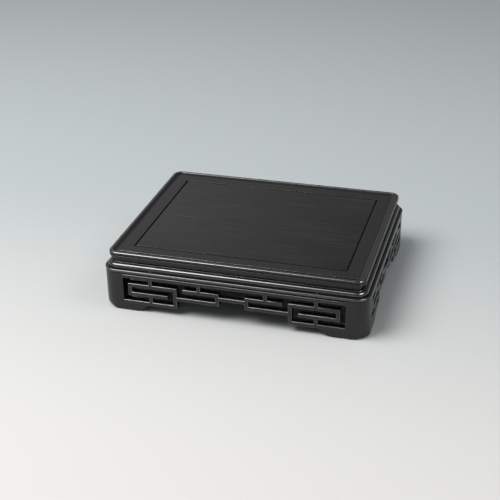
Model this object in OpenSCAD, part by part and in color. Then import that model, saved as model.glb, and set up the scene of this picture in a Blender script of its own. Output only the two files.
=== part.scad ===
// Chinese hardwood stand: a framed top with a floating panel, a recessed waist,
// a moulded shoulder, four pierced fret aprons and four legs with rounded hoofs.
// Millimetres, +Z up. The floor is z = 0 and the stand is centred on the Z axis.
// The front faces -Y and the length of the top lies along X.

/* [Top frame] */
// Length of the top over its raised lip
top_l = 200; // [180:1:240]
// Width of the top over its raised lip
top_w = 161.5; // [140:0.5:190]
// Height of the lip above the floor
stand_h = 47; // [45:0.5:60]
// Plan radius of the lip's outer corners
corner_r = 7.5; // [4:0.5:8.5]
// Width of a rail from the lip's edge to the panel gap
rail_w = 16.2; // [15.5:0.1:20]
// Depth of a rail behind the waist, below the lip
rail_h = 9; // [8:0.25:10]
// Height of the moulded edge of the rails
edge_h = 4.1; // [3.5:0.1:5]
// Rounding of the upper arris of the edge
edge_r_top = 1.2; // [0.8:0.1:1.8]
// Rounding of the lower arris of the edge
edge_r_low = 1; // [0.5:0.1:1.4]
// Width of the raised lip
lip_w = 2.8; // [2.4:0.1:3.2]
// Height of the lip above the field inside it
lip_h = 1; // [0.6:0.1:1.5]
// Width of the slope from the lip down into the quirk
lip_slope = 2.8; // [2:0.1:4]
// Width of the quirk, the narrow sunk line between the lip's slope and the field
quirk_w = 0.6; // [0.4:0.1:1]
// Depth of the quirk below the field
quirk_d = 0.4; // [0.3:0.1:0.6]

/* [Frame joints] */
// Clearance left for glue in each joint
glue_gap = 0.1; // [0.05:0.01:0.2]
// Width of the tenon at the end of a long rail
rail_tenon_w = 5; // [3:0.5:5.5]
// Thickness of that tenon
rail_tenon_t = 1.6; // [1.2:0.1:1.8]
// Wood left between that tenon's end and the outer edge of the short rail
rail_tenon_wall = 6.2; // [6:0.1:8]

/* [Panel] */
// Thickness of the floating panel
panel_t = 5; // [4.5:0.1:6]
// Gap between the panel and the long rails
panel_gap_side = 1; // [0.6:0.1:1.6]
// Gap between the panel and the short rails
panel_gap_end = 1.2; // [0.8:0.1:2]
// Depth of the panel tongue below the field
tongue_drop = 1.9; // [1.5:0.1:2.1]
// Thickness of the panel tongue
tongue_t = 1.4; // [1:0.1:1.6]
// Length of the panel tongue inside the rail
tongue_in = 2.2; // [1.5:0.1:2.5]
// Room past the tongue's end for the panel to swell
swell_room = 0.5; // [0.3:0.1:0.6]

/* [Battens] */
// Distance of each batten from the middle of the panel
batten_x = 45; // [25:1:60]
// Width of a batten
batten_w = 9; // [7:0.5:12]
// Height of a batten below the panel
batten_h = 5; // [4:0.25:7]
// Height of the sliding dovetail let into the panel
dovetail_h = 1.5; // [1:0.1:2]
// Width of the dovetail at its neck
dovetail_neck = 5; // [4:0.1:6]
// Widening of the dovetail on each side
dovetail_flare = 0.8; // [0.4:0.1:1]
// Height of the batten's end tenon
batten_tenon_h = 1.9; // [1.5:0.1:1.9]
// Length of the batten's end tenon
batten_tenon_l = 3; // [2:0.1:4]

/* [Waist] */
// Height of the recessed waist
waist_h = 4.1; // [3:0.1:5]
// Distance of the waist inside the lip's edge
waist_inset = 3; // [2:0.1:3.5]
// Thickness of the waist strips
waist_t = 3; // [2.5:0.1:3.5]

/* [Shoulder moulding] */
// Height of the flat fillet under the waist
fillet_h = 0.8; // [0.4:0.1:1]
// Distance of the fillet's face behind the crown of the large round
fillet_set = 0.3; // [0.2:0.1:1]
// Radius of the large round
round_r = 2.35; // [2:0.05:2.6]
// Reach of the large round beyond the lip's edge
round_out = 1.4; // [1.2:0.05:1.8]
// Depth to which the foot of the large round sits behind the bead
round_sunk = 1; // [0.8:0.1:1.6]
// Radius of the bead
bead_r = 1.1; // [0.8:0.05:1.2]
// Reach of the bead beyond the lip's edge
bead_out = 3.9; // [3.6:0.05:4.6]

/* [Aprons] */
// Reach of the aprons and legs beyond the lip's edge
base_out = 3.6; // [3.3:0.1:4]
// Thickness of an apron
apron_t = 6; // [5:0.1:7]
// Height of the upper rail of the fret
apron_rail_h = 4; // [3.5:0.05:5.5]
// Height of the sunk band along the top of an apron
band_h = 1.2; // [0.8:0.1:2.2]
// Depth of that sunk band
band_d = 1.2; // [0.6:0.1:1.6]
// Width of the fret's bars
bar_w = 3; // [2.4:0.1:3.4]
// Gap between a leg and the fret's outer upright
leg_gap = 3.8; // [3:0.1:5]
// Gap at the free tip of a fret bar
tip_gap = 4.5; // [3.5:0.1:5.5]
// Length of the square scroll next to a leg, front and back
scroll_l = 43.2; // [38:0.1:48]
// Length of the square scroll next to a leg, at the ends
scroll_s = 34; // [30:0.1:36]
// Clear width between the two middle uprights, front and back
middle_l = 20; // [12:0.1:24]
// Clear width between the two middle uprights, at the ends
middle_s = 16; // [10:0.1:18]
// Drop of the middle bar below the top of the upper bars
middle_drop = 2.8; // [2:0.1:4]
// Thickness of the apron tongues that enter the legs
apron_tongue_t = 2.4; // [2:0.1:3]
// Length of those tongues
apron_tongue_l = 4; // [3:0.1:5]

/* [Apron pins] */
// Diameter of the bamboo pins between shoulder and apron
pin_d = 1.6; // [1.2:0.1:1.8]
// Depth of a pin in each piece
pin_in = 2.6; // [2:0.1:3]

/* [Legs] */
// Width of a leg on each face
leg_w = 17; // [16:0.1:19]
// Rounding of the hoof at the foot of the outer corner
hoof_r = 5; // [2:0.1:6]
// Height of the fret's bottom bar above the floor
foot_h = 5.9; // [5:0.1:8]
// Length of the toe past the leg
toe_l = 20; // [15:0.1:24]
// Length of the toe that stands flat on the floor
toe_flat = 6; // [3:0.1:9]
// Thickness of the toe
toe_t = 7; // [6:0.1:9]
// Clearance between the leg's tenon and the inner corner of the waist
leg_tenon_set = 1; // [0.5:0.1:1.5]
// Depth of the leg's tenon in the top frame
leg_tenon_in = 3; // [2:0.1:3.2]
// Rounding of the leg's inner corner
leg_inner_r = 2; // [1:0.1:3]

/* [Hidden] */
$fn = 48;

FRONT = 0;
RIGHT = 1;
BACK = 2;
LEFT = 3;
frame_colour = "#2b2725";
panel_colour = "#332d29";
apron_colour = "#262322";
bamboo_colour = "#b08d57";

// Extra length that carries a cut or a union past the face it meets
over = 0.5;

// Levels, from the lip down to the floor
z_field = stand_h - lip_h;
z_edge = stand_h - edge_h;
z_waist = z_edge - waist_h;
z_rail = stand_h - rail_h;
shoulder_h = fillet_h + 2 * round_r - round_sunk + 2 * bead_r;
z_base = z_waist - shoulder_h;
z_panel = z_field - panel_t;
z_tongue = z_field - tongue_drop - tongue_t;

// Levels of the fret: three rows of bars share the height under the upper rail evenly
z_fret_top = z_base - apron_rail_h;
row_gap = (z_fret_top - foot_h - 3 * bar_w) / 3;
z_upper = z_fret_top - row_gap;
z_lower = z_upper - bar_w - row_gap;
z_bottom = foot_h + bar_w;
z_middle = z_upper - middle_drop;

// Sizes of a side, where FRONT and BACK run along X and the ends along Y
function is_long(side) = side % 2 == 0;
function side_l(side) = is_long(side) ? top_l : top_w;
function side_away(side) = (is_long(side) ? top_w : top_l) / 2;
function scroll(side) = is_long(side) ? scroll_l : scroll_s;
function middle(side) = is_long(side) ? middle_l : middle_s;
function half_span(side) = side_l(side) / 2 + base_out - leg_w;
function outer_upright(side) = half_span(side) - leg_gap;
function inner_upright(side) = half_span(side) - scroll(side);
function post_x(side) = (outer_upright(side) + inner_upright(side) + bar_w) / 2;
function pin_y(side) = -(side_away(side) + base_out - apron_t / 2);

// Joints
leg_r = corner_r + base_out;
z_rail_tenon = (z_edge + z_field - quirk_d - rail_tenon_t) / 2;
rail_tenon_u = waist_inset + waist_t + over;
waist_in_r = corner_r - waist_inset - waist_t;
leg_tenon_u = corner_r - (waist_in_r - leg_tenon_set) / (waist_in_r > leg_tenon_set ? sqrt(2) : 1);
leg_tenon_w = leg_w - base_out - leg_tenon_u - leg_inner_r / 2;
toe_run = toe_l - toe_flat;
toe_arc_r = (toe_run * toe_run + foot_h * foot_h) / (2 * foot_h);

// Turn a shape drawn for the front round to another side
module on_side(side) {
    rotate([0, 0, 90 * side]) children();
}

// Turn a shape drawn for the front right corner into another corner
module at_corner(left, back) {
    mirror([left ? 1 : 0, 0, 0])
        mirror([0, back ? 1 : 0, 0])
            translate([top_l / 2 + base_out, -(top_w / 2 + base_out), 0]) children();
}

// Extrude a profile along X, with the profile's x pointing out of the front
module along_side(run) {
    translate([run / 2, 0, 0])
        rotate([90, 0, -90])
            linear_extrude(run) children();
}

// One side of a mitred moulding. The profile's x is measured outwards from the
// centre of the corner arcs: what lies outside that centre turns round the
// corner, and what lies inside it is mitred.
module mitred_moulding(side, inward) {
    run = side_l(side) - 2 * corner_r;
    tall = stand_h + over;
    translate([0, -(side_away(side) - corner_r), 0]) {
        along_side(run) outer_half(tall) children();
        for (end = [0, 1])
            mirror([end, 0, 0])
                translate([run / 2, 0, 0])
                    rotate([0, 0, -90]) rotate_extrude(angle = 45) outer_half(tall) children();
        if (inward > 0)
            intersection() {
                along_side(run + 2 * over) inner_half(tall, inward) children();
                linear_extrude(tall)
                    polygon([
                        [-run / 2 - over, -over], [run / 2 + over, -over],
                        [run / 2 - inward, inward], [-run / 2 + inward, inward]
                    ]);
            }
    }
}

module outer_half(tall) {
    intersection() {
        children();
        square([top_w, tall]);
    }
}

module inner_half(tall, inward) {
    intersection() {
        children();
        translate([-inward, 0]) square([inward + over, tall]);
    }
}

// Section of a top rail: moulded edge, lip, slope, quirk, field and panel groove
module rail_profile() {
    r_edge = corner_r;
    r_in = corner_r - rail_w;
    r_lip = corner_r - lip_w;
    r_quirk = r_lip - lip_slope;
    groove_l = tongue_in + swell_room;
    difference() {
        union() {
            polygon([
                [r_edge - edge_r_low, z_edge], [r_edge, z_edge + edge_r_low],
                [r_edge, stand_h - edge_r_top], [r_edge - edge_r_top, stand_h],
                [r_lip, stand_h], [r_quirk, z_field - quirk_d],
                [r_quirk - quirk_w, z_field - quirk_d], [r_quirk - quirk_w, z_field],
                [r_in, z_field], [r_in, z_rail], [waist_in_r, z_rail], [waist_in_r, z_edge]
            ]);
            translate([r_edge - edge_r_top, stand_h - edge_r_top]) circle(edge_r_top);
            translate([r_edge - edge_r_low, z_edge + edge_r_low]) circle(edge_r_low);
        }
        translate([r_in - over, z_tongue]) square([groove_l + over, tongue_t + glue_gap]);
    }
}

// Section of the shoulder, which slopes outward: fillet, large round and bead, with a groove between
module shoulder_profile() {
    z_bead = z_base + bead_r;
    z_round = z_waist - fillet_h - round_r;
    r_round = corner_r + round_out - round_r;
    r_bead = corner_r + bead_out - bead_r;
    translate([waist_in_r, z_base]) square([r_round - waist_in_r, z_round - z_base]);
    translate([waist_in_r, z_round]) square([r_round - fillet_set - waist_in_r, z_waist - z_round]);
    translate([r_round, z_round]) circle(round_r);
    translate([waist_in_r, z_base]) square([r_bead - waist_in_r, 2 * bead_r]);
    translate([r_bead, z_bead]) circle(bead_r);
}

module waist_profile() {
    translate([waist_in_r, z_waist]) square([waist_t, waist_h]);
}

// Tenon of a long rail, or the mortise for it when grown by a clearance
module rail_tenons(gap) {
    x_end = top_l / 2 - rail_tenon_wall + gap;
    x_root = top_l / 2 - rail_tenon_u - rail_tenon_w - over;
    for (end = [0, 1])
        mirror([end, 0, 0])
            translate([x_root, -(top_w / 2 - rail_tenon_u) - gap, z_rail_tenon])
                cube([x_end - x_root, rail_tenon_w + 2 * gap, rail_tenon_t + gap]);
}

// Tenons of the four legs in the frame, or their mortises when grown by a clearance
module leg_tenon(gap) {
    far = leg_tenon_u + base_out;
    translate([-far - leg_tenon_w - gap, far - gap, z_base - over])
        cube([leg_tenon_w + 2 * gap, leg_tenon_w + 2 * gap, z_rail + leg_tenon_in + gap - z_base + over]);
}

module leg_mortises() {
    for (left = [false, true], back = [false, true]) at_corner(left, back) leg_tenon(glue_gap);
}

// End tenons of both battens, or their mortises when grown by a clearance
module batten_tenons(gap) {
    reach = top_w / 2 - rail_w + batten_tenon_l + gap;
    wide = dovetail_neck + 2 * gap;
    for (end = [-1, 1])
        translate([end * batten_x - wide / 2, -reach, z_panel - batten_tenon_h])
            cube([wide, 2 * reach, batten_tenon_h + gap]);
}

module long_rail(side) {
    color(frame_colour)
        difference() {
            union() {
                on_side(side) mitred_moulding(side, rail_w - corner_r) rail_profile();
                on_side(side) rail_tenons(0);
            }
            leg_mortises();
            batten_tenons(glue_gap);
        }
}

module short_rail(side) {
    color(frame_colour)
        difference() {
            on_side(side) mitred_moulding(side, rail_w - corner_r) rail_profile();
            leg_mortises();
            on_side(FRONT) rail_tenons(glue_gap);
            on_side(BACK) rail_tenons(glue_gap);
        }
}

module top_rail_front() { long_rail(FRONT); }
module top_rail_right() { short_rail(RIGHT); }
module top_rail_back() { long_rail(BACK); }
module top_rail_left() { short_rail(LEFT); }

// Dovetail of one batten, or its housing in the panel when grown by a clearance
module dovetail(x, half_y, gap) {
    neck = dovetail_neck / 2 + gap;
    head = neck + dovetail_flare;
    translate([x, half_y, 0])
        rotate([90, 0, 0])
            linear_extrude(2 * half_y)
                polygon([
                    [-neck, z_panel - over], [neck, z_panel - over], [neck, z_panel],
                    [head, z_panel + dovetail_h + gap], [-head, z_panel + dovetail_h + gap],
                    [-neck, z_panel]
                ]);
}

module top_panel() {
    half_x = top_l / 2 - rail_w - panel_gap_end;
    half_y = top_w / 2 - rail_w - panel_gap_side;
    tongue_x = top_l / 2 - rail_w + tongue_in;
    tongue_y = top_w / 2 - rail_w + tongue_in;
    color(panel_colour)
        difference() {
            union() {
                translate([-half_x, -half_y, z_panel]) cube([2 * half_x, 2 * half_y, panel_t]);
                translate([-tongue_x, -tongue_y, z_tongue])
                    cube([2 * tongue_x, 2 * tongue_y, tongue_t]);
            }
            for (end = [-1, 1]) dovetail(end * batten_x, tongue_y + over, glue_gap);
        }
}

module batten(x) {
    half_y = top_w / 2 - rail_w - glue_gap;
    color(frame_colour) {
        translate([x - batten_w / 2, -half_y, z_panel - batten_h])
            cube([batten_w, 2 * half_y, batten_h]);
        dovetail(x, top_w / 2 - rail_w - panel_gap_side, 0);
        intersection() {
            batten_tenons(0);
            translate([x - batten_w / 2, -top_w / 2, 0]) cube([batten_w, top_w, stand_h]);
        }
    }
}

module batten_left() { batten(-batten_x); }
module batten_right() { batten(batten_x); }

module waist(side) {
    color(apron_colour)
        on_side(side) mitred_moulding(side, -waist_in_r) waist_profile();
}

module waist_front() { waist(FRONT); }
module waist_right() { waist(RIGHT); }
module waist_back() { waist(BACK); }
module waist_left() { waist(LEFT); }

// Bamboo pins of one side, or their holes when grown by a clearance
module pins(side, gap) {
    on_side(side)
        for (end = [-1, 1])
            translate([end * post_x(side), pin_y(side), z_base - pin_in])
                cylinder(d = pin_d + 2 * gap, h = 2 * pin_in + gap);
}

module shoulder(side) {
    color(apron_colour)
        difference() {
            on_side(side) mitred_moulding(side, -waist_in_r) shoulder_profile();
            pins(side, glue_gap);
        }
}

module shoulder_front() { shoulder(FRONT); }
module shoulder_right() { shoulder(RIGHT); }
module shoulder_back() { shoulder(BACK); }
module shoulder_left() { shoulder(LEFT); }

// Bars of the fret, given by their ends and their upper or inner edge
module level_bar(x0, x1, z) {
    translate([x0, z - bar_w]) square([x1 - x0, bar_w]);
}

module upright_bar(x, z0, z1) {
    translate([x, z0]) square([bar_w, z1 - z0]);
}

// Right half of the fret: upper rail, square scroll by the leg, hook, and half the middle bar
module half_fret(side) {
    x_leg = half_span(side);
    x_out = outer_upright(side);
    x_in = inner_upright(side);
    x_mid = middle(side) / 2;
    x_post = post_x(side) - bar_w / 2;
    x_hook_post = (x_mid + x_in - tip_gap) / 2;
    square_rail = z_base - z_fret_top;
    translate([-over, z_fret_top]) square([x_leg + over, square_rail]);
    level_bar(x_in, x_leg, z_bottom);
    upright_bar(x_in, foot_h, z_upper);
    level_bar(x_in, x_out, z_upper);
    upright_bar(x_out - bar_w, z_lower - bar_w, z_upper);
    level_bar(x_in + bar_w + tip_gap, x_out, z_lower);
    upright_bar(x_post, z_upper - over, z_fret_top + over);
    upright_bar(x_post, z_bottom - over, z_lower - bar_w + over);
    level_bar(x_mid, x_in + over, z_lower);
    upright_bar(x_mid, z_lower - bar_w, z_upper);
    level_bar(x_mid, x_in - tip_gap, z_upper);
    upright_bar(x_hook_post, z_upper - over, z_fret_top + over);
    level_bar(-over, x_mid + over, z_middle);
}

// Tongues at the ends of an apron, or their mortises when grown by a clearance
module apron_tongues(side, gap) {
    reach = half_span(side) + apron_tongue_l + gap;
    thick = apron_tongue_t + 2 * gap;
    y = pin_y(side) - thick / 2;
    for (end = [0, 1])
        mirror([end, 0, 0]) {
            translate([half_span(side) - over, y, z_fret_top])
                cube([reach - half_span(side) + over, thick, apron_rail_h + gap]);
            translate([half_span(side) - over, y, foot_h])
                cube([reach - half_span(side) + over, thick, bar_w + gap]);
        }
}

module apron(side) {
    y_face = -(side_away(side) + base_out);
    color(apron_colour)
        difference() {
            on_side(side) {
                difference() {
                    translate([0, y_face + apron_t, 0])
                        rotate([90, 0, 0])
                            linear_extrude(apron_t) {
                                half_fret(side);
                                mirror([1, 0]) half_fret(side);
                            }
                    translate([-half_span(side) - over, y_face - over, z_base - band_h])
                        cube([2 * half_span(side) + 2 * over, band_d + over, band_h + over]);
                }
                apron_tongues(side, 0);
            }
            pins(side, glue_gap);
        }
}

module apron_front() { apron(FRONT); }
module apron_right() { apron(RIGHT); }
module apron_back() { apron(BACK); }
module apron_left() { apron(LEFT); }

module apron_pins() {
    color(bamboo_colour) for (side = [FRONT:LEFT]) pins(side, 0);
}

// Plan of a leg, with its sharp outer corner at the origin and the leg at -x, +y
module leg_plan() {
    inner = leg_w - leg_inner_r;
    intersection() {
        union() {
            translate([-leg_w, 0]) square([leg_w - leg_r, leg_w]);
            translate([-leg_w, leg_r]) square([leg_w, leg_w - leg_r]);
            translate([-leg_r, leg_r]) circle(leg_r);
        }
        union() {
            translate([-leg_w, 0]) square([leg_w, inner]);
            translate([-inner, 0]) square([inner, leg_w]);
            translate([-inner, inner]) circle(leg_inner_r);
        }
    }
}

// Outline that rounds the foot of the outer corner, seen square to the leg's diagonal
module hoof_outline() {
    deep = 2 * leg_w;
    translate([-deep, 0]) square([deep + leg_r - hoof_r, z_base]);
    translate([-deep, hoof_r]) square([deep + leg_r, z_base - hoof_r]);
    translate([leg_r - hoof_r, hoof_r]) circle(hoof_r);
}

// Toe under the fret's bottom bar, flat on the floor and then curling up
module toe_outline() {
    translate([-over, 0]) square([toe_flat + over, foot_h]);
    intersection() {
        translate([toe_flat, 0]) square([toe_run, foot_h]);
        translate([toe_flat, toe_arc_r]) circle(toe_arc_r, $fn = 180);
    }
}

module toe() {
    translate([-leg_w, 0, 0])
        mirror([1, 0, 0])
            translate([0, toe_t, 0])
                rotate([90, 0, 0]) linear_extrude(toe_t) toe_outline();
}

module corner_leg(left, back) {
    color(apron_colour)
        difference() {
            at_corner(left, back) {
                intersection() {
                    linear_extrude(z_base) leg_plan();
                    translate([-leg_r, leg_r, 0])
                        rotate([90, 0, -45])
                            linear_extrude(4 * leg_w, center = true) hoof_outline();
                }
                toe();
                mirror([1, 1, 0]) toe();
                leg_tenon(0);
            }
            for (side = [FRONT:LEFT]) on_side(side) apron_tongues(side, glue_gap);
        }
}

module leg_front_left() { corner_leg(true, false); }
module leg_front_right() { corner_leg(false, false); }
module leg_back_left() { corner_leg(true, true); }
module leg_back_right() { corner_leg(false, true); }

top_panel();
top_rail_front();
top_rail_right();
top_rail_back();
top_rail_left();
batten_left();
batten_right();
waist_front();
waist_right();
waist_back();
waist_left();
shoulder_front();
shoulder_right();
shoulder_back();
shoulder_left();
apron_front();
apron_right();
apron_back();
apron_left();
apron_pins();
leg_front_left();
leg_front_right();
leg_back_left();
leg_back_right();
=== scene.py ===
"""Blackwood display stand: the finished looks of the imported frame.

Every piece is made again with eased arrises, hollowed coves and a waxed
finish, at the size and in the place that the frame gives it.
"""

import math

import bmesh
import bpy
from bpy.props import FloatProperty, FloatVectorProperty, PointerProperty
from bpy.types import Operator, Panel, PropertyGroup
from mathutils import Matrix, Quaternion, Vector


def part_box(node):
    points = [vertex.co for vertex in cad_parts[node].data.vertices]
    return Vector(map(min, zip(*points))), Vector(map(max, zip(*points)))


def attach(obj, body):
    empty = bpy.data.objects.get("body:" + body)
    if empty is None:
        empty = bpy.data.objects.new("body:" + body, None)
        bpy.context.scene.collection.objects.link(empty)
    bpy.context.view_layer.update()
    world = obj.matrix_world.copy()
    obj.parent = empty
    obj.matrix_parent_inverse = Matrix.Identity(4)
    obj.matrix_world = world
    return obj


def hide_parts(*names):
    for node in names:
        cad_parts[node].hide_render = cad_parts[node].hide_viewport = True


bl_info = {
    "name": "Blackwood display stand",
    "version": (1, 0, 0),
    "blender": (4, 5, 0),
    "location": "3D View > Sidebar > Stand",
    "description": "Builds a low display stand with a framed top, moulded shoulder and fret aprons",
    "category": "Add Mesh",
}

MM = 0.001
SIDES = ("front", "right", "back", "left")
LONG_SIDES = ("front", "back")
NEIGHBOURS = ((-1, 0, 0), (1, 0, 0), (0, -1, 0), (0, 1, 0), (0, 0, -1), (0, 0, 1))
CORNERS = {
    "front_left": (-1, -1), "front_right": (1, -1),
    "back_left": (-1, 1), "back_right": (1, 1),
}

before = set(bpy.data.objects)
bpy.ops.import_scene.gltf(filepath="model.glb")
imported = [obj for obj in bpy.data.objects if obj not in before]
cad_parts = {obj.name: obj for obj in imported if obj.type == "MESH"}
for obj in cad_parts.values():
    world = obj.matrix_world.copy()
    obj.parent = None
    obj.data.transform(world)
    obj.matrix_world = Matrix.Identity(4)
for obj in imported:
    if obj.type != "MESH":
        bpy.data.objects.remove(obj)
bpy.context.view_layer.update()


def low(node):
    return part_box(node)[0]


def high(node):
    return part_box(node)[1]


# Half sizes and levels that the frame already holds
HALF_L = high("top_rail_right").x
HALF_W = high("top_rail_back").y
BASE_L = high("leg_front_right").x
BASE_W = high("leg_back_left").y
RAIL_W = HALF_W + high("top_rail_front").y
RABBET = HALF_W + high("waist_front").y
WAIST_IN = HALF_W + low("waist_front").y
APRON_T = high("apron_front").y - low("apron_front").y
LIP_Z = high("top_rail_front").z
FIELD_Z = high("top_panel").z
EDGE_Z = high("waist_front").z
WAIST_Z = low("waist_front").z
RAIL_Z = low("top_rail_front").z
BASE_Z = low("shoulder_front").z
FRET_Z = low("apron_front").z
PANEL_LOW = low("top_panel")
PANEL_HIGH = high("top_panel")

# Fine measures of the finish, which a user has no need to change
SHARP_ANGLE = math.radians(32)
BAR_ANGLE = math.radians(40)
FLAT_ANGLE = 0.01
MERGE_GAP = 0.0005 * MM
TOUCH_GAP = 0.001 * MM
RUB_HIGHLIGHT_FADE = 0.1 * MM
COVE_SAG = 0.12 * MM
FILLET_ARRIS = 0.3 * MM
HOOF_SOFT = 1.4 * MM
LIP_RUB_HIGHLIGHT = 0.6

# Number of steps along a curve
CORNER_STEPS = 12
TOE_STEPS = 12
PLAN_STEPS = 10
WAIST_STEPS = 8
COVE_STEPS = 6
ARRIS_STEPS = 4

# Stage, in metres: the floor, the lamps and the bright part of the room
FLOOR_HALF = 4.0
PAPER_NEAR_Y, PAPER_FAR_Y = -0.3, 0.15
KEY_PLACE, KEY_AIM, KEY_WIDTH = (-0.7, -0.46, 1.35), (0.0, 0.0, 0.03), 1.0
SIDE_PLACE, SIDE_WIDTH = (0.68, -0.06, 0.86), 0.5
GLINT_PLACE, GLINT_WIDTH = (0.8, -0.3, 1.1), 0.38
NEAR_CORNER = (0.1, -0.07, 0.04)
BRIGHT_WALL_TOWARD = (-0.51, 0.63, 0.58)
BRIGHT_WALL_EDGE, BRIGHT_WALL_FULL = 0.866, 0.978


def linear(hex_colour):
    """Turn an sRGB hex colour into linear values."""
    parts = [int(hex_colour[i:i + 2], 16) / 255 for i in (1, 3, 5)]
    return tuple(c / 12.92 if c <= 0.04045 else ((c + 0.055) / 1.055) ** 2.4 for c in parts)


def size(name, description, millimetres):
    """A length that a user may change, given in millimetres."""
    return FloatProperty(
        name=name, description=description, default=millimetres * MM, min=0.0,
        unit="LENGTH", precision=5)


def colour(name, description, hex_colour):
    """A colour that a user may change, given as sRGB hex."""
    return FloatVectorProperty(
        name=name, description=description, default=linear(hex_colour), size=3,
        min=0.0, max=1.0, subtype="COLOR")


class TopSizes(PropertyGroup):
    corner: size("Corner radius", "Plan radius of the lip's outer corners", 7.5)
    lip: size("Lip width", "Width of the raised lip", 2.8)
    cove: size("Cove width", "Width of the hollow from the lip down into the quirk", 2.8)
    quirk: size("Quirk width", "Width of the narrow sunk line inside the cove", 0.6)
    quirk_in: size("Quirk depth", "Depth of that line below the field", 0.4)
    edge_top: size("Upper rounding", "Rounding of the upper arris of the edge", 1.2)
    edge_low: size("Lower roll", "Radius of the fine roll low on the edge", 0.3)
    edge_foot: size("Edge foot", "Height of the foot of the edge under that roll", 0.8)
    arris: size("Arris", "Softening of the sharp edges of rails and panel", 0.25)
    side_gap: size("Side gap", "Gap between the panel and the long rails", 1.0)
    end_gap: size("End gap", "Gap between the panel and the short rails", 1.2)
    tongue_drop: size("Tongue drop", "Depth of the panel tongue below the field", 1.9)
    tongue: size("Tongue", "Thickness of the panel tongue", 1.4)
    groove: size("Groove", "Depth of the groove that takes the tongue", 2.7)


class ShoulderSizes(PropertyGroup):
    fillet: size("Fillet", "Height of the flat fillet under the waist", 0.8)
    fillet_set: size("Fillet set", "Fillet's face behind the crown of the large round", 0.3)
    round: size("Large round", "Radius of the large round", 2.35)
    round_out: size("Round reach", "Reach of the large round beyond the lip's edge", 1.4)
    bead: size("Bead", "Radius of the bead", 1.1)
    bead_out: size("Bead reach", "Reach of the bead beyond the lip's edge", 3.9)
    hollow: size("Waist hollow", "Depth to which the waist strips are hollowed", 0.25)


class FretSizes(PropertyGroup):
    rail: size("Upper rail", "Height of the upper rail of the fret", 4.0)
    band: size("Band", "Height of the sunk band along the top of an apron", 1.2)
    band_in: size("Band depth", "Depth of the sunk band", 1.2)
    bar: size("Bar", "Width of the fret's bars", 3.0)
    leg_gap: size("Leg gap", "Gap between a leg and the fret's outer upright", 3.8)
    tip_gap: size("Tip gap", "Gap at the free tip of a bar", 4.5)
    scroll_long: size("Long scroll", "Length of the square scroll, front and back", 43.2)
    scroll_short: size("Short scroll", "Length of the square scroll at the ends", 34.0)
    middle_long: size("Long middle", "Clear width between the uprights, front and back", 20.0)
    middle_short: size("Short middle", "Clear width between the uprights at the ends", 16.0)
    middle_drop: size("Middle drop", "Drop of the middle bar below the upper bars", 2.8)
    arris: size("Arris", "Rounding of the bars' edges", 0.55)


class LegSizes(PropertyGroup):
    width: size("Width", "Width of a leg on each face", 17.0)
    hoof: size("Hoof", "Rounding at the foot of the outer corner", 5.0)
    toe_flat: size("Flat toe", "Length of the toe that stands flat on the floor", 6.0)
    toe_thick: size("Toe", "Thickness of the toe", 7.0)
    inner: size("Inner corner", "Rounding of the leg's inner corner", 2.0)
    arris: size("Arris", "Rounding of the leg's edges", 0.5)


class FinishLook(PropertyGroup):
    heart: colour("Heartwood", "Ground colour of the blackwood", "#100e0d")
    streak: colour("Streak", "Lighter brown streaks in the blackwood", "#1f1a18")
    panel: colour("Panel streak", "Streaks of the browner board in the panel", "#2c241f")
    # Lighter arris colour: rubbed wear and a painted highlight on the arrises
    rubbed_and_highlit: colour("Rubbed arris", "Wood where hands and cloths have rubbed the edges", "#241f1d")
    pore: colour("Pore", "Dark open pores of the blackwood", "#0d0a08")
    bamboo: colour("Bamboo", "Colour of the bamboo pins", "#b08d57")
    streak_width: size("Streak width", "Width of the streaks across the grain", 2.2)
    pore_width: size("Pore width", "Width of the open pores, drawn coarser than life", 0.35)


class StageLook(PropertyGroup):
    near: colour("Near paper", "Background paper in front of the stand", "#c4c2bf")
    # The far paper is darker as painted shade for the light falling off behind the stand
    far: colour("Far paper", "Background paper far behind the stand", "#a7acac")
    room: colour("Room", "Colour of the room's soft light", "#e9eef3")
    key: FloatProperty(
        name="Key", description="Power of the large softbox", default=34.0, unit="POWER")
    side: FloatProperty(
        name="Side", description="Power of the softbox at the right", default=2.4, unit="POWER")
    glint: FloatProperty(
        name="Glint", description="Power of the lamp that only polish mirrors", default=9.5,
        unit="POWER")
    fill: FloatProperty(name="Fill", description="Strength of the room's soft light", default=0.36)
    bright_wall: FloatProperty(
        name="Bright wall", description="Wall behind on the left, as polish mirrors it",
        default=0.58)
    dim_wall: FloatProperty(
        name="Dim wall", description="Rest of the room, as polish mirrors it", default=0.22)
    lens: FloatProperty(name="Lens", description="Focal length", default=77.6, unit="CAMERA")
    roll: FloatProperty(
        name="Roll", description="Tilt of the camera", default=math.radians(-0.872),
        subtype="ANGLE")
    seat: FloatVectorProperty(
        name="Seat", description="Where the camera stands", subtype="TRANSLATION", precision=5,
        default=(208.05 * MM, -751.02 * MM, 425.04 * MM))
    aim: FloatVectorProperty(
        name="Aim", description="Point that the camera looks at", subtype="TRANSLATION",
        precision=5, default=(-8.83 * MM, -1.4 * MM, 20.0 * MM))


def add_node(tree, kind, inputs=None, **settings):
    """Add a node with its settings, and set or link its inputs."""
    node = tree.nodes.new(kind)
    for name, value in settings.items():
        setattr(node, name, value)
    for name, value in (inputs or {}).items():
        if isinstance(value, bpy.types.NodeSocket):
            tree.links.new(value, node.inputs[name])
        else:
            node.inputs[name].default_value = value
    return node


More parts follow.
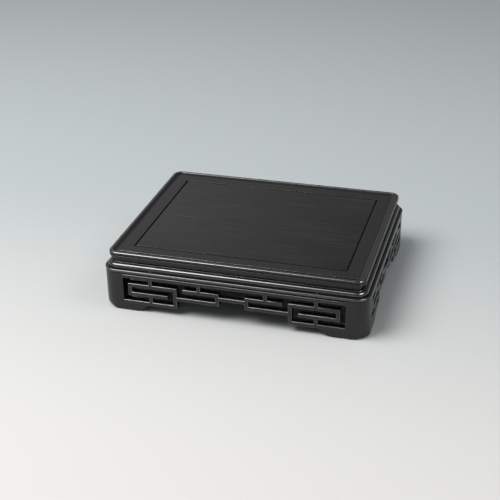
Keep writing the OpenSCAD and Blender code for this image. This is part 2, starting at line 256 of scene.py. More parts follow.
def waxed_blackwood(name, axis, streak_colour):
    """Waxed blackwood with its grain along one axis (0, 1 or 2).

    Chinese blackwood, a dark rosewood, planed, scraped and waxed: close and
    nearly black, with thin brown streaks, short open pores and a soft even
    gloss. On the marked arrises it is glossier and lighter in colour. The lighter
    colour is rubbed wear and also a painted highlight, laid where the highlights fall.
    """
    made = bpy.data.materials.get(name)
    if made:
        return made
    look = bpy.context.scene.stand_finish
    made = bpy.data.materials.new(name)
    made.use_nodes = True
    tree = made.node_tree
    tree.nodes.clear()
    place = add_node(tree, "ShaderNodeTexCoord").outputs["Object"]

    def along_grain(width, stretch):
        scale = [1 / width] * 3
        scale[axis] /= stretch
        return add_node(tree, "ShaderNodeMapping", {"Vector": place, "Scale": scale}).outputs[0]

    streaks = add_node(
        tree, "ShaderNodeTexNoise",
        {"Vector": along_grain(look.streak_width, stretch=22), "Scale": 1.0, "Detail": 3.0,
         "Roughness": 0.55, "Distortion": 0.6}).outputs["Fac"]
    figure = add_node(
        tree, "ShaderNodeTexNoise",
        {"Vector": along_grain(9 * look.streak_width, stretch=3.5), "Scale": 1.0,
         "Detail": 2.0}).outputs["Fac"]
    pores = add_node(
        tree, "ShaderNodeTexNoise",
        {"Vector": along_grain(look.pore_width, stretch=14), "Scale": 1.0,
         "Detail": 1.0}).outputs["Fac"]
    rub_and_highlight = add_node(tree, "ShaderNodeAttribute", attribute_name="rub_and_highlight").outputs["Fac"]

    # Colour: dark ground, brown streaks that come and go with the figure, dark pores and
    # lighter, warmer arrises, which are rubbed wear and a painted highlight
    streak_amount = add_node(
        tree, "ShaderNodeMapRange",
        {"Value": streaks, "From Min": 0.45, "From Max": 0.72, "To Min": 0.0,
         "To Max": 1.0}).outputs[0]
    figure_amount = add_node(
        tree, "ShaderNodeMapRange",
        {"Value": figure, "From Min": 0.35, "From Max": 0.65, "To Min": 0.15,
         "To Max": 1.0}).outputs[0]
    brown = add_node(
        tree, "ShaderNodeMath", {0: streak_amount, 1: figure_amount},
        operation="MULTIPLY").outputs[0]
    wood = add_node(
        tree, "ShaderNodeMix", {0: brown, 6: (*look.heart, 1), 7: (*streak_colour, 1)},
        data_type="RGBA").outputs[2]
    pore_amount = add_node(
        tree, "ShaderNodeMapRange",
        {"Value": pores, "From Min": 0.62, "From Max": 0.7, "To Min": 0.0,
         "To Max": 1.0}).outputs[0]
    pored = add_node(
        tree, "ShaderNodeMix", {0: pore_amount, 6: wood, 7: (*look.pore, 1)},
        data_type="RGBA").outputs[2]
    # Painted highlight with rubbed wear: the lighter arris colour follows the rub mark, which peaks
    # where the highlights fall
    rub_and_highlight_share = add_node(
        tree, "ShaderNodeMath", {0: rub_and_highlight, 1: 0.55}, operation="MULTIPLY").outputs[0]
    shown = add_node(
        tree, "ShaderNodeMix", {0: rub_and_highlight_share, 6: pored, 7: (*look.rubbed_and_highlit, 1)},
        data_type="RGBA").outputs[2]

    # Gloss: wax fills the grain unevenly, lies dull in the pores and shines where it is rubbed
    even = add_node(
        tree, "ShaderNodeMapRange",
        {"Value": figure, "From Min": 0.3, "From Max": 0.7, "To Min": 0.22,
         "To Max": 0.32}).outputs[0]
    dulled = add_node(
        tree, "ShaderNodeMath", {0: pore_amount, 1: 0.22, 2: even},
        operation="MULTIPLY_ADD").outputs[0]
    gloss = add_node(
        tree, "ShaderNodeMath", {0: rub_and_highlight, 1: -0.1, 2: dulled}, operation="MULTIPLY_ADD",
        use_clamp=True).outputs[0]
    wax = add_node(
        tree, "ShaderNodeMath", {0: rub_and_highlight, 1: 0.8, 2: 0.1}, operation="MULTIPLY_ADD").outputs[0]
    shine = add_node(
        tree, "ShaderNodeMath", {0: rub_and_highlight, 1: 0.5, 2: 0.45}, operation="MULTIPLY_ADD").outputs[0]
    height = add_node(
        tree, "ShaderNodeMath", {0: pore_amount, 1: -0.7, 2: streaks},
        operation="MULTIPLY_ADD").outputs[0]
    bump = add_node(
        tree, "ShaderNodeBump",
        {"Height": height, "Strength": 0.25, "Distance": 0.06 * MM}).outputs[0]
    shader = add_node(
        tree, "ShaderNodeBsdfPrincipled",
        {"Base Color": shown, "Roughness": gloss, "Normal": bump, "IOR": 1.5,
         "Specular IOR Level": shine, "Coat Weight": wax, "Coat Roughness": 0.2})
    add_node(tree, "ShaderNodeOutputMaterial", {"Surface": shader.outputs[0]})
    return made


def split_bamboo(name):
    """Bamboo, split and shaved round: pale straw, with long fine fibres and little gloss."""
    look = bpy.context.scene.stand_finish
    made = bpy.data.materials.new(name)
    made.use_nodes = True
    tree = made.node_tree
    tree.nodes.clear()
    place = add_node(tree, "ShaderNodeTexCoord").outputs["Object"]
    fibre, stretch = 0.25 * MM, 25
    lengthwise = add_node(
        tree, "ShaderNodeMapping",
        {"Vector": place, "Scale": (1 / fibre, 1 / fibre, 1 / (stretch * fibre))})
    fibres = add_node(
        tree, "ShaderNodeTexNoise", {"Vector": lengthwise.outputs[0], "Scale": 1.0, "Detail": 2.0})
    dark = tuple(0.55 * c for c in look.bamboo)
    shown = add_node(
        tree, "ShaderNodeMix",
        {0: fibres.outputs["Fac"], 6: (*dark, 1), 7: (*look.bamboo, 1)}, data_type="RGBA")
    bump = add_node(
        tree, "ShaderNodeBump",
        {"Height": fibres.outputs["Fac"], "Strength": 0.3, "Distance": 0.05 * MM})
    shader = add_node(
        tree, "ShaderNodeBsdfPrincipled",
        {"Base Color": shown.outputs[2], "Roughness": 0.6, "Normal": bump.outputs[0]})
    add_node(tree, "ShaderNodeOutputMaterial", {"Surface": shader.outputs[0]})
    return made


def side_wood(side):
    """The blackwood whose grain runs along a side."""
    look = bpy.context.scene.stand_finish
    name, axis = ("Blackwood_waxed_x", 0) if side in LONG_SIDES else ("Blackwood_waxed_y", 1)
    return waxed_blackwood(name, axis, look.streak)


def finish_piece(mesh, node):
    """Shade a finished mesh, and hang it on the frame in place of a node."""
    for polygon in mesh.polygons:
        polygon.use_smooth = True
    mesh.set_sharp_from_angle(angle=SHARP_ANGLE)
    piece = bpy.data.objects.new(node + "_waxed", mesh)
    bpy.context.scene.collection.objects.link(piece)
    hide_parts(node)
    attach(piece, "root")


def closed_mesh(name, bm, wood):
    """Close a bmesh up, turn its faces outwards and give it one material."""
    bmesh.ops.remove_doubles(bm, verts=bm.verts, dist=MERGE_GAP)
    bmesh.ops.dissolve_degenerate(bm, dist=MERGE_GAP, edges=bm.edges)
    bmesh.ops.recalc_face_normals(bm, faces=bm.faces)
    mesh = bpy.data.meshes.new(name)
    bm.to_mesh(mesh)
    bm.free()
    mesh.materials.append(wood)
    return mesh


def turn_to_side(bm, side):
    """Turn a piece that was made for the front to its own side."""
    turn = Matrix.Rotation(math.pi / 2 * SIDES.index(side), 4, "Z")
    bmesh.ops.transform(bm, matrix=turn, verts=bm.verts)


def bow(share):
    """Depth of a shallow hollow: 0 at its edges and 1 in its middle."""
    return 4 * share * (1 - share)


def arc(centre, radius, start, end, steps, rub_and_highlight=0.0):
    """Points of a section's arc, in degrees, with the rub mark (rubbed wear and painted highlight)
    strongest in its middle, where the highlight falls.
    """
    points = []
    for i in range(steps + 1):
        turn = math.radians(start + (end - start) * i / steps)
        points.append((
            centre[0] + radius * math.cos(turn), centre[1] + radius * math.sin(turn),
            rub_and_highlight * math.sin(math.pi * i / steps)))
    return points


def rail_section(top):
    """Section of a top rail, measured outwards from the centre of its corner arcs.

    It runs from the foot of the edge up over the roll and the lip, down the
    cove into the quirk, across the field and round the panel groove.
    """
    edge, lip = top.corner, top.corner - top.lip
    field, inner = lip - top.cove - top.quirk, top.corner - RAIL_W
    bottom, groove_top = FIELD_Z - top.quirk_in, FIELD_Z - top.tongue_drop
    groove_in, groove_low = inner + top.groove, groove_top - top.tongue
    rabbet = top.corner - RABBET
    a = top.arris
    roll = (edge - top.edge_low, EDGE_Z + top.edge_foot + top.edge_low)
    crown = (edge - top.edge_top, LIP_Z - top.edge_top)
    points = [(roll[0], EDGE_Z, 0.0)]
    points += arc(roll, top.edge_low, -90, 80, steps=10)
    points += arc(crown, top.edge_top, -50, 0, steps=5)
    # These rub values lighten the colour as rubbed wear and a painted highlight on the crown, the
    # lip and the field's arris
    points += arc(crown, top.edge_top, 0, 90, steps=8, rub_and_highlight=1.0)
    points += [(crown[0] - RUB_HIGHLIGHT_FADE, LIP_Z, LIP_RUB_HIGHLIGHT), (lip + a + RUB_HIGHLIGHT_FADE, LIP_Z, LIP_RUB_HIGHLIGHT)]
    points += arc((lip + a, LIP_Z - a), a, 90, 150, steps=5, rub_and_highlight=LIP_RUB_HIGHLIGHT)
    drop = points[-1][1] - bottom
    for i in range(1, COVE_STEPS + 1):
        share = i / COVE_STEPS
        z = bottom + drop * (1 - share) - COVE_SAG * bow(share)
        points.append((lip - share * top.cove, z, 0.0))
    points.append((field, bottom, 0.0))
    points += arc((field - a, FIELD_Z - a), a, 0, 90, ARRIS_STEPS, rub_and_highlight=0.7)
    points += [(field - a - RUB_HIGHLIGHT_FADE, FIELD_Z, 0.0), (inner + a + RUB_HIGHLIGHT_FADE, FIELD_Z, 0.0)]
    points += arc((inner + a, FIELD_Z - a), a, 90, 180, ARRIS_STEPS)
    points += [
        (inner, groove_top, 0.0), (groove_in, groove_top, 0.0),
        (groove_in, groove_low, 0.0), (inner, groove_low, 0.0),
        (inner, RAIL_Z, 0.0), (rabbet, RAIL_Z, 0.0), (rabbet, EDGE_Z, 0.0),
    ]
    return points


def waist_section(top, shoulder):
    """Section of a waist strip, with its face hollowed a little."""
    inner, face = top.corner - RABBET, top.corner - WAIST_IN
    rise = EDGE_Z - WAIST_Z
    points = [(inner, WAIST_Z, 0.0)]
    for i in range(WAIST_STEPS + 1):
        share = i / WAIST_STEPS
        points.append((face - shoulder.hollow * bow(share), WAIST_Z + rise * share, 0.0))
    points.append((inner, EDGE_Z, 0.0))
    return points


def shoulder_section(top, shoulder):
    """Section of the shoulder: bead, large round and fillet from the bottom up."""
    inner = top.corner - RABBET
    bead = (top.corner + shoulder.bead_out - shoulder.bead, BASE_Z + shoulder.bead)
    large = (
        top.corner + shoulder.round_out - shoulder.round,
        WAIST_Z - shoulder.fillet - shoulder.round)
    # The large round rises from the flat behind the bead
    start = math.degrees(math.asin((bead[1] + shoulder.bead - large[1]) / shoulder.round))
    end = 90 + math.degrees(math.asin(shoulder.fillet_set / shoulder.round))
    arris = (large[0] - shoulder.fillet_set - FILLET_ARRIS, WAIST_Z - FILLET_ARRIS)
    points = [(inner, BASE_Z, 0.0)]
    # These rub values lighten bead, round and fillet arris as rubbed wear and a painted highlight
    points += arc(bead, shoulder.bead, -90, 90, steps=14, rub_and_highlight=0.8)
    points += arc(large, shoulder.round, start, end, steps=18, rub_and_highlight=0.8)
    points += arc(arris, FILLET_ARRIS, 0, 90, ARRIS_STEPS, rub_and_highlight=0.9)
    points.append((inner, WAIST_Z, 0.0))
    return points


def moulding_tree():
    """Geometry Nodes that sweep a section along one side, with mitred and rounded corners.

    The section's x is measured outwards from the centre of the corner arcs.
    What lies outside that centre turns round the corner to the mitre at 45
    degrees, and what lies inside it stops on the mitre.
    """
    tree = bpy.data.node_groups.get("Mitred moulding")
    if tree:
        return tree
    tree = bpy.data.node_groups.new("Mitred moulding", "GeometryNodeTree")
    for name, kind in (
            ("Section", "NodeSocketGeometry"), ("Run", "NodeSocketFloat"),
            ("Away", "NodeSocketFloat"), ("Corner steps", "NodeSocketInt"),
            ("Wood", "NodeSocketMaterial")):
        tree.interface.new_socket(name, in_out="INPUT", socket_type=kind)
    tree.interface.new_socket("Moulding", in_out="OUTPUT", socket_type="NodeSocketGeometry")
    given = add_node(tree, "NodeGroupInput").outputs
    steps = given["Corner steps"]

    # A path with one point for each station, and the section as a closed curve
    per_corner = add_node(tree, "ShaderNodeMath", {0: steps, 1: 1.0}, operation="ADD").outputs[0]
    stations = add_node(
        tree, "ShaderNodeMath", {0: per_corner, 1: 2.0}, operation="MULTIPLY").outputs[0]
    line = add_node(tree, "GeometryNodeMeshLine", {"Count": stations, "Offset": (1.0, 0.0, 0.0)})
    path = add_node(tree, "GeometryNodeMeshToCurve", {"Mesh": line.outputs[0]})
    loop = add_node(tree, "GeometryNodeMeshToCurve", {"Mesh": given["Section"]})
    index = add_node(tree, "GeometryNodeInputIndex")
    position = add_node(tree, "GeometryNodeInputPosition")
    path_mark = add_node(tree, "GeometryNodeCaptureAttribute", {"Geometry": path.outputs[0]})
    path_mark.capture_items.new("FLOAT", "Station")
    tree.links.new(index.outputs[0], path_mark.inputs["Station"])
    loop_mark = add_node(tree, "GeometryNodeCaptureAttribute", {"Geometry": loop.outputs[0]})
    loop_mark.capture_items.new("VECTOR", "Place")
    tree.links.new(position.outputs[0], loop_mark.inputs["Place"])
    sweep = add_node(
        tree, "GeometryNodeCurveToMesh",
        {"Curve": path_mark.outputs["Geometry"], "Profile Curve": loop_mark.outputs["Geometry"],
         "Fill Caps": True})
    station = path_mark.outputs["Station"]
    section = add_node(tree, "ShaderNodeSeparateXYZ", {0: loop_mark.outputs["Place"]}).outputs

    # The turn of each station, from the left mitre to the right one
    at_right = add_node(
        tree, "ShaderNodeMath", {0: station, 1: steps}, operation="GREATER_THAN").outputs[0]
    skipped = add_node(
        tree, "ShaderNodeMath", {0: at_right, 1: per_corner}, operation="MULTIPLY").outputs[0]
    counted = add_node(
        tree, "ShaderNodeMath", {0: station, 1: skipped}, operation="SUBTRACT").outputs[0]
    share = add_node(tree, "ShaderNodeMath", {0: counted, 1: steps}, operation="DIVIDE").outputs[0]
    from_left = add_node(
        tree, "ShaderNodeMath", {0: share, 1: 1.0}, operation="SUBTRACT").outputs[0]
    eighth = add_node(
        tree, "ShaderNodeMath", {0: from_left, 1: at_right}, operation="ADD").outputs[0]
    turn = add_node(
        tree, "ShaderNodeMath", {0: eighth, 1: math.pi / 4}, operation="MULTIPLY").outputs[0]
    end = add_node(
        tree, "ShaderNodeMath", {0: at_right, 1: 2.0, 2: -1.0}, operation="MULTIPLY_ADD").outputs[0]

    # Outside the arc's centre a point turns with its station, inside it keeps to the mitre
    outside = add_node(
        tree, "ShaderNodeMath", {0: section["X"], 1: 0.0}, operation="GREATER_THAN").outputs[0]
    sine = add_node(tree, "ShaderNodeMath", {0: turn}, operation="SINE").outputs[0]
    cosine = add_node(tree, "ShaderNodeMath", {0: turn}, operation="COSINE").outputs[0]
    share_x = add_node(tree, "ShaderNodeMix", {0: outside, 2: end, 3: sine}).outputs[0]
    share_y = add_node(tree, "ShaderNodeMix", {0: outside, 2: 1.0, 3: cosine}).outputs[0]
    half = add_node(
        tree, "ShaderNodeMath", {0: given["Run"], 1: 0.5}, operation="MULTIPLY").outputs[0]
    centre = add_node(tree, "ShaderNodeMath", {0: half, 1: end}, operation="MULTIPLY").outputs[0]
    x = add_node(
        tree, "ShaderNodeMath", {0: section["X"], 1: share_x, 2: centre},
        operation="MULTIPLY_ADD").outputs[0]
    out = add_node(
        tree, "ShaderNodeMath", {0: section["X"], 1: share_y, 2: given["Away"]},
        operation="MULTIPLY_ADD").outputs[0]
    y = add_node(tree, "ShaderNodeMath", {0: out, 1: -1.0}, operation="MULTIPLY").outputs[0]
    moved = add_node(tree, "ShaderNodeCombineXYZ", {"X": x, "Y": y, "Z": section["Y"]}).outputs[0]
    bent = add_node(
        tree, "GeometryNodeSetPosition", {"Geometry": sweep.outputs[0], "Position": moved})
    plain = add_node(tree, "GeometryNodeRealizeInstances", {"Geometry": bent.outputs[0]})
    wooden = add_node(
        tree, "GeometryNodeSetMaterial", {"Geometry": plain.outputs[0], "Material": given["Wood"]})
    add_node(tree, "NodeGroupOutput", {0: wooden.outputs[0]})
    return tree


def mitred_side(name, section, side, corner):
    """Sweep a section along one side of the stand, and turn it into place."""
    half, away = (HALF_L, HALF_W) if side in LONG_SIDES else (HALF_W, HALF_L)
    mesh = bpy.data.meshes.new(name + "_section")
    count = len(section)
    mesh.from_pydata(
        [(r, z, 0.0) for r, z, rub_and_highlight in section], [(i, (i + 1) % count) for i in range(count)], [])
    # The rub mark for each point: rubbed wear and a painted highlight
    rub_and_highlight_values = mesh.attributes.new("rub_and_highlight", "FLOAT", "POINT")
    for item, (r, z, rub_and_highlight) in zip(rub_and_highlight_values.data, section):
        item.value = rub_and_highlight
    holder = bpy.data.objects.new(name + "_holder", mesh)
    bpy.context.scene.collection.objects.link(holder)
    tree = moulding_tree()
    sweep = holder.modifiers.new("Moulding", "NODES")
    sweep.node_group = tree
    values = {
        "Run": 2 * (half - corner), "Away": away - corner, "Corner steps": CORNER_STEPS,
        "Wood": side_wood(side),
    }
    for item in tree.interface.items_tree:
        if item.in_out == "INPUT" and item.name in values:
            sweep[item.identifier] = values[item.name]
    evaluated = holder.evaluated_get(bpy.context.evaluated_depsgraph_get())
    swept = bpy.data.meshes.new_from_object(evaluated)
    holder.modifiers.remove(sweep)
    bpy.data.objects.remove(holder)
    bpy.data.meshes.remove(mesh)
    bm = bmesh.new()
    bm.from_mesh(swept)
    bpy.data.meshes.remove(swept)
    if not bm.faces:
        raise RuntimeError(f"the moulding {name} came out empty")
    turn_to_side(bm, side)
    finish_piece(closed_mesh(name, bm, side_wood(side)), name)


def skin(bm, rings):
    """Join closed rings of points, one above another, and cap both ends."""
    rows = [[bm.verts.new(p) for p in ring] for ring in rings]
    count = len(rows[0])
    for below, above in zip(rows, rows[1:]):
        for i in range(count):
            j = (i + 1) % count
            bm.faces.new((below[i], below[j], above[j], above[i]))
    bm.faces.new(rows[0][::-1])
    bm.faces.new(rows[-1])


def fret_bars(fret, half_span, scroll, middle):
    """Bars of one apron as (x0, x1, z0, z1), given for the right half and mirrored."""
    bar, top = fret.bar, BASE_Z - fret.rail
    row = (top - FRET_Z - 3 * bar) / 3
    upper, lower, bottom = top - row, top - 2 * row - bar, FRET_Z + bar
    outer, inner, mid = half_span - fret.leg_gap, half_span - scroll, middle / 2
    post = (outer + inner) / 2
    hook_tip = inner - fret.tip_gap
    hook_post = (mid + hook_tip) / 2
    centre = upper - fret.middle_drop
    right = [
        (0.0, half_span, top, BASE_Z),
        (inner, half_span, FRET_Z, bottom),
        (inner, inner + bar, FRET_Z, upper),
        (inner, outer, upper - bar, upper),
        (outer - bar, outer, lower - bar, upper),
        (inner + bar + fret.tip_gap, outer, lower - bar, lower),
        (post, post + bar, upper, top),
        (post, post + bar, bottom, lower - bar),
        (mid, inner, lower - bar, lower),
        (mid, mid + bar, lower - bar, upper),
        (mid, hook_tip, upper - bar, upper),
        (hook_post, hook_post + bar, upper, top),
        (0.0, mid, centre - bar, centre),
    ]
    return right + [(-x1, -x0, z0, z1) for x0, x1, z0, z1 in right]


def to_micron(length):
    """Round a length to a micrometre, so that levels which should agree do."""
    return round(length, 6)


def fret_solid(bars, face, thick, band, band_in):
    """Solid of crossing bars with a sunk band along its top, front towards -Y."""
    band_z = BASE_Z - band
    xs = sorted({to_micron(x) for bar in bars for x in bar[:2]})
    ys = [face, face + band_in, face + thick]
    zs = sorted({to_micron(z) for bar in bars for z in bar[2:]} | {to_micron(band_z)})
    bm = bmesh.new()
    corners = {}

    def corner(i, j, k):
        if (i, j, k) not in corners:
            corners[i, j, k] = bm.verts.new((xs[i], ys[j], zs[k]))
        return corners[i, j, k]

    def filled(i, j, k):
        if not (0 <= i < len(xs) - 1 and 0 <= j < 2 and 0 <= k < len(zs) - 1):
            return False
        x, z = (xs[i] + xs[i + 1]) / 2, (zs[k] + zs[k + 1]) / 2
        if j == 0 and z > band_z:
            return False
        return any(x0 < x < x1 and z0 < z < z1 for x0, x1, z0, z1 in bars)

    for i in range(len(xs) - 1):
        for j in range(2):
            for k in range(len(zs) - 1):
                if not filled(i, j, k):
                    continue
                for step in NEIGHBOURS:
                    if filled(i + step[0], j + step[1], k + step[2]):
                        continue
                    axis = [abs(s) for s in step].index(1)
                    base = [i, j, k]
                    base[axis] += max(step[axis], 0)
                    u, v = [a for a in range(3) if a != axis]
                    loop = []
                    for du, dv in ((0, 0), (1, 0), (1, 1), (0, 1)):
                        point = list(base)
                        point[u] += du
                        point[v] += dv
                        loop.append(corner(*point))
                    bm.faces.new(loop)
    bmesh.ops.recalc_face_normals(bm, faces=bm.faces)
    bmesh.ops.dissolve_limit(bm, angle_limit=FLAT_ANGLE, verts=bm.verts, edges=bm.edges)
    return bm


def ease_edges(bm, radius, half_span):
    """Round the outward edges of an apron that show, and mark the rounding as rubbed and highlit:
    its lighter colour is rubbed wear and a painted highlight.

    The ends, which meet the legs, and the top, which meets the shoulder, stay square.
    """
    rub_and_highlight_values = bm.faces.layers.float.new("rub_and_highlight")

    def joined(edge):
        at_leg = all(abs(v.co.x) > half_span - TOUCH_GAP for v in edge.verts)
        return at_leg or all(v.co.z > BASE_Z - TOUCH_GAP for v in edge.verts)

    sharp = [
        e for e in bm.edges
        if e.is_convex and e.calc_face_angle(0.0) > BAR_ANGLE and not joined(e)
    ]
    eased = bmesh.ops.bevel(
        bm, geom=sharp, offset=radius, offset_type="OFFSET", segments=4, profile=0.5,
        affect="EDGES", clamp_overlap=False)
    for face in eased["faces"]:
        face[rub_and_highlight_values] = 1.0


def rounded(corners, steps):
    """Outline with each corner (x, y, radius) rounded to the same number of points."""
    outline = []
    for n, (x, y, radius) in enumerate(corners):
        here = Vector((x, y))
        if radius <= 0:
            outline += [(x, y)] * (steps + 1)
            continue
        back = (Vector(corners[n - 1][:2]) - here).normalized()
        ahead = (Vector(corners[(n + 1) % len(corners)][:2]) - here).normalized()
        half = back.angle(ahead) / 2
        centre = here + (back + ahead).normalized() * radius / math.sin(half)
        start = here + back * radius / math.tan(half) - centre
        sweep = start.angle_signed(here + ahead * radius / math.tan(half) - centre)
        for i in range(steps + 1):
            spoke = start.copy()
            spoke.rotate(Matrix.Rotation(-sweep * i / steps, 2))
            outline.append(tuple(centre + spoke))
    return outline


def leg_outline(leg, corner, reach, inset, z):
    """Plan of a leg at one level, with its outer corner at the origin and the leg at -x, +y."""
    w, t, e = leg.width, leg.toe_thick, leg.arris
    arm = w + reach
    tip = e if reach > 0 else 0.0
    outline = rounded([
        (inset - arm, inset, e), (-inset, inset, corner - inset), (-inset, arm - inset, e),
        (inset - t, arm - inset, tip), (inset - t, w - inset, 0.0),
        (inset - w, w - inset, leg.inner), (inset - w, t - inset, 0.0),
        (inset - arm, t - inset, tip),
    ], PLAN_STEPS)
    if z >= leg.hoof:
        return outline
    # The hoof is cut square to the leg's diagonal, with a softened meeting line
    limit = corner - leg.hoof + math.sqrt(leg.hoof ** 2 - (leg.hoof - z) ** 2)
    soft = HOOF_SOFT * (1 - z / leg.hoof)
    root = math.sqrt(2)
    shaped = []
    for x, y in outline:
        out = ((x + corner) - (y - corner)) / root
        across = ((x + corner) + (y - corner)) / root
        near = max(soft - abs(out - limit), 0.0) / soft if soft > 0 else 0.0
        out = min(out, limit) - near * near * soft / 4
        shaped.append(((across + out) / root - corner, (across - out) / root + corner))
    return shaped


def leg_rings(leg, corner):
    """Rings of a leg from the floor up: curled toes, ledge, then the straight post."""
    run = BASE_L - low("leg_front_right").x - leg.width - leg.toe_flat
    curl = (run * run + FRET_Z * FRET_Z) / (2 * FRET_Z)
    full = math.acos(1 - FRET_Z / curl)
    rings = []
    for i in range(TOE_STEPS + 1):
        turn = full * i / TOE_STEPS
        z = curl * (1 - math.cos(turn))
        rise = max(leg.arris - z, 0.0)
        inset = leg.arris - math.sqrt(leg.arris ** 2 - rise ** 2)
        plan = leg_outline(leg, corner, leg.toe_flat + curl * math.sin(turn), inset, z)
        rings.append([(x, y, z) for x, y in plan])
    # The post, with its head eased under the shoulder
    post = (
        (FRET_Z, 0.0), (BASE_Z - leg.arris, 0.0),
        (BASE_Z - 0.3 * leg.arris, 0.1 * MM), (BASE_Z, 0.35 * MM))
    for z, inset in post:
        rings.append([(x, y, z) for x, y in leg_outline(leg, corner, 0.0, inset, z)])
    return rings


class STAND_OT_top_frame(Operator):
    """Make the four mitred rails of the top, each with its lip, cove and panel groove"""
    bl_idname = "stand.top_frame"
    bl_label = "Top frame"

    def execute(self, context):
        top = context.scene.stand_top
        section = rail_section(top)
        for side in SIDES:
            mitred_side(f"top_rail_{side}", section, side, top.corner)
        return {"FINISHED"}


class STAND_OT_top_panel(Operator):
    """Make the floating panel with its tongue and eased upper edge"""
    bl_idname = "stand.top_panel"
    bl_label = "Top panel"

    def execute(self, context):
        top = context.scene.stand_top
        half_x, half_y = HALF_L - RAIL_W - top.end_gap, HALF_W - RAIL_W - top.side_gap
        tongue_top = FIELD_Z - top.tongue_drop
        tongue_low = tongue_top - top.tongue
        levels = [
            (half_x, half_y, PANEL_LOW.z), (half_x, half_y, tongue_low),
            (PANEL_HIGH.x, PANEL_HIGH.y, tongue_low), (PANEL_HIGH.x, PANEL_HIGH.y, tongue_top),
            (half_x, half_y, tongue_top),
        ]
        for i in range(ARRIS_STEPS + 1):
            turn = math.pi / 2 * i / ARRIS_STEPS
            back = top.arris * (1 - math.cos(turn))
            z = FIELD_Z - top.arris * (1 - math.sin(turn))
            levels.append((half_x - back, half_y - back, z))
        bm = bmesh.new()
        skin(bm, [[(-x, -y, z), (x, -y, z), (x, y, z), (-x, y, z)] for x, y, z in levels])
        look = context.scene.stand_finish
        wood = waxed_blackwood("Blackwood_waxed_panel", 0, look.panel)
        finish_piece(closed_mesh("top_panel", bm, wood), "top_panel")
        return {"FINISHED"}


class STAND_OT_battens(Operator):
    """Give the two sliding battens under the panel their finish"""
    bl_idname = "stand.battens"
    bl_label = "Battens"

    def execute(self, context):
        for name in ("batten_left", "batten_right"):
            node = bpy.data.objects[name]
            node.data.materials.clear()
            node.data.materials.append(side_wood("right"))
        return {"FINISHED"}


class STAND_OT_waist(Operator):
    """Make the four hollowed strips of the waist"""
    bl_idname = "stand.waist"
    bl_label = "Waist"

    def execute(self, context):
        top, shoulder = context.scene.stand_top, context.scene.stand_shoulder
        section = waist_section(top, shoulder)
        for side in SIDES:
            mitred_side(f"waist_{side}", section, side, top.corner)
        return {"FINISHED"}


class STAND_OT_shoulder(Operator):
    """Make the four lengths of the shoulder moulding"""
    bl_idname = "stand.shoulder"
    bl_label = "Shoulder"

    def execute(self, context):
        top, shoulder = context.scene.stand_top, context.scene.stand_shoulder
        section = shoulder_section(top, shoulder)
        for side in SIDES:
            mitred_side(f"shoulder_{side}", section, side, top.corner)
        return {"FINISHED"}


class STAND_OT_aprons(Operator):
    """Make the four pierced fret aprons with rounded bars"""
    bl_idname = "stand.aprons"
    bl_label = "Aprons"

    def execute(self, context):
        fret, leg = context.scene.stand_fret, context.scene.stand_leg
        for side in SIDES:
            if side in LONG_SIDES:
                half, face, scroll, middle = BASE_L, -BASE_W, fret.scroll_long, fret.middle_long
            else:
                half, face, scroll, middle = BASE_W, -BASE_L, fret.scroll_short, fret.middle_short
            half_span = half - leg.width
            bars = fret_bars(fret, half_span, scroll, middle)
            bm = fret_solid(bars, face, APRON_T, fret.band, fret.band_in)
            ease_edges(bm, fret.arris, half_span)
            turn_to_side(bm, side)
            name = f"apron_{side}"
            finish_piece(closed_mesh(name, bm, side_wood(side)), name)
        return {"FINISHED"}


class STAND_OT_pins(Operator):
    """Give the bamboo pins between shoulder and aprons their finish"""
    bl_idname = "stand.pins"
    bl_label = "Bamboo pins"

    def execute(self, context):
        node = bpy.data.objects["apron_pins"]
        node.data.materials.clear()
        node.data.materials.append(split_bamboo("Bamboo_split"))
        return {"FINISHED"}


class STAND_OT_legs(Operator):
    """Make the four legs with their rounded hoofs and curled toes"""
    bl_idname = "stand.legs"
    bl_label = "Legs"

    def execute(self, context):
        leg = context.scene.stand_leg
        corner = context.scene.stand_top.corner + BASE_L - HALF_L
        wood = waxed_blackwood("Blackwood_waxed_z", 2, context.scene.stand_finish.streak)
        rings = leg_rings(leg, corner)
        for place, (right, back) in CORNERS.items():
            bm = bmesh.new()
            skin(bm, [
                [(right * (BASE_L + x), back * (BASE_W - y), z) for x, y, z in ring]
                for ring in rings])
            name = f"leg_{place}"
            finish_piece(closed_mesh(name, bm, wood), name)
        return {"FINISHED"}


def softbox(name, place, aim, width, power):
    """Add a square softbox at a place, turned towards a point."""
    lamp = bpy.data.lights.new(name, "AREA")
    lamp.shape = "RECTANGLE"
    lamp.size, lamp.size_y, lamp.energy = width, width, power
    holder = bpy.data.objects.new(name, lamp)
    holder.location = place
    holder.rotation_euler = (Vector(aim) - Vector(place)).to_track_quat("-Z", "Y").to_euler()
    bpy.context.scene.collection.objects.link(holder)
    return holder


def paper_with_painted_falloff(name):
    """Background paper, matt, in an even grade: pale in front, darker and cooler far behind. The
    darkening far behind is painted shade for the light falling off.
    """
    look = bpy.context.scene.stand_stage
    made = bpy.data.materials.new(name)
    made.use_nodes = True
    tree = made.node_tree
    tree.nodes.clear()
    place = add_node(tree, "ShaderNodeTexCoord").outputs["Object"]
    depth = add_node(tree, "ShaderNodeSeparateXYZ", {0: place}).outputs["Y"]
    # Painted shade: the paper darkens towards the back, as the light falls off there
    grade = add_node(
        tree, "ShaderNodeMapRange",
        {"Value": depth, "From Min": PAPER_NEAR_Y, "From Max": PAPER_FAR_Y},
        interpolation_type="SMOOTHSTEP").outputs[0]
    shown = add_node(
        tree, "ShaderNodeMix", {0: grade, 6: (*look.near, 1), 7: (*look.far, 1)},
        data_type="RGBA")
    shader = add_node(
        tree, "ShaderNodeBsdfPrincipled",
        {"Base Color": shown.outputs[2], "Roughness": 0.9, "Specular IOR Level": 0.1})
    add_node(tree, "ShaderNodeOutputMaterial", {"Surface": shader.outputs[0]})
    return made


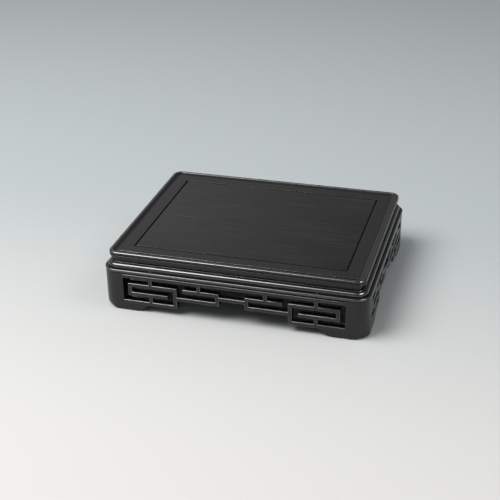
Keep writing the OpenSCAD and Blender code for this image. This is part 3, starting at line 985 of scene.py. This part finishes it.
def studio_room(name):
    """A plain room: even soft light, and walls that polish mirrors, brightest at the left."""
    look = bpy.context.scene.stand_stage
    made = bpy.data.worlds.new(name)
    made.use_nodes = True
    tree = made.node_tree
    tree.nodes.clear()
    toward = add_node(tree, "ShaderNodeTexCoord").outputs["Generated"]
    bright_side = add_node(
        tree, "ShaderNodeVectorMath", {0: toward, 1: BRIGHT_WALL_TOWARD},
        operation="DOT_PRODUCT").outputs["Value"]
    wall = add_node(
        tree, "ShaderNodeMapRange",
        {"Value": bright_side, "From Min": BRIGHT_WALL_EDGE, "From Max": BRIGHT_WALL_FULL,
         "To Min": look.dim_wall, "To Max": look.bright_wall}).outputs[0]
    mirrored = add_node(tree, "ShaderNodeLightPath").outputs["Is Glossy Ray"]
    strength = add_node(tree, "ShaderNodeMix", {0: mirrored, 2: look.fill, 3: wall}).outputs[0]
    light = add_node(
        tree, "ShaderNodeBackground", {"Color": (*look.room, 1), "Strength": strength})
    add_node(tree, "ShaderNodeOutputWorld", {"Surface": light.outputs[0]})
    return made


class STAND_OT_stage(Operator):
    """Set up the paper floor, the soft light and the camera"""
    bl_idname = "stand.stage"
    bl_label = "Stage"

    def execute(self, context):
        scene = context.scene
        look = scene.stand_stage
        mesh = bpy.data.meshes.new("paper_floor")
        h = FLOOR_HALF
        mesh.from_pydata([(-h, -h, 0), (h, -h, 0), (h, h, 0), (-h, h, 0)], [], [(0, 1, 2, 3)])
        mesh.materials.append(paper_with_painted_falloff("Background_paper_painted_falloff"))
        floor = bpy.data.objects.new("paper_floor", mesh)
        scene.collection.objects.link(floor)

        softbox("key_softbox", KEY_PLACE, KEY_AIM, KEY_WIDTH, look.key)
        softbox("side_softbox", SIDE_PLACE, NEAR_CORNER, SIDE_WIDTH, look.side)
        # Seen only as a spark in the wax of the near corner, so the floor keeps its tone
        glint = softbox("glint_lamp", GLINT_PLACE, NEAR_CORNER, GLINT_WIDTH, look.glint)
        glint.visible_diffuse = False
        scene.world = studio_room("Room")

        camera = bpy.data.cameras.new("Camera")
        camera.sensor_width = 36.0
        camera.lens = look.lens
        camera.clip_start = 0.01
        seat = bpy.data.objects.new("Camera", camera)
        seat.location = look.seat
        facing = (Vector(look.aim) - Vector(look.seat)).to_track_quat("-Z", "Y")
        seat.rotation_euler = (facing @ Quaternion((0, 0, 1), look.roll)).to_euler()
        scene.collection.objects.link(seat)
        scene.camera = seat
        scene.view_settings.view_transform = "Standard"
        return {"FINISHED"}


PIECES = (
    STAND_OT_top_frame, STAND_OT_top_panel, STAND_OT_battens, STAND_OT_waist, STAND_OT_shoulder,
    STAND_OT_aprons, STAND_OT_pins, STAND_OT_legs, STAND_OT_stage,
)
SETTINGS = {
    "stand_top": TopSizes, "stand_shoulder": ShoulderSizes, "stand_fret": FretSizes,
    "stand_leg": LegSizes, "stand_finish": FinishLook, "stand_stage": StageLook,
}


class STAND_PT_sidebar(Panel):
    """Lists the pieces of the stand and the sizes and colours that shape them"""
    bl_idname = "STAND_PT_sidebar"
    bl_label = "Display stand"
    bl_space_type = "VIEW_3D"
    bl_region_type = "UI"
    bl_category = "Stand"

    def draw(self, context):
        for piece in PIECES:
            self.layout.operator(piece.bl_idname)
        for name, group in SETTINGS.items():
            box = self.layout.box()
            for key in group.__annotations__:
                box.prop(getattr(context.scene, name), key)


def register():
    for name, group in SETTINGS.items():
        bpy.utils.register_class(group)
        setattr(bpy.types.Scene, name, PointerProperty(type=group))
    for item in (*PIECES, STAND_PT_sidebar):
        bpy.utils.register_class(item)


def unregister():
    for item in (STAND_PT_sidebar, *reversed(PIECES)):
        bpy.utils.unregister_class(item)
    for name, group in reversed(SETTINGS.items()):
        delattr(bpy.types.Scene, name)
        bpy.utils.unregister_class(group)


def main():
    register()
    bpy.ops.stand.top_frame()
    bpy.ops.stand.top_panel()
    bpy.ops.stand.battens()
    bpy.ops.stand.waist()
    bpy.ops.stand.shoulder()
    bpy.ops.stand.aprons()
    bpy.ops.stand.pins()
    bpy.ops.stand.legs()
    bpy.ops.stand.stage()


if __name__ == "__main__":
    main()
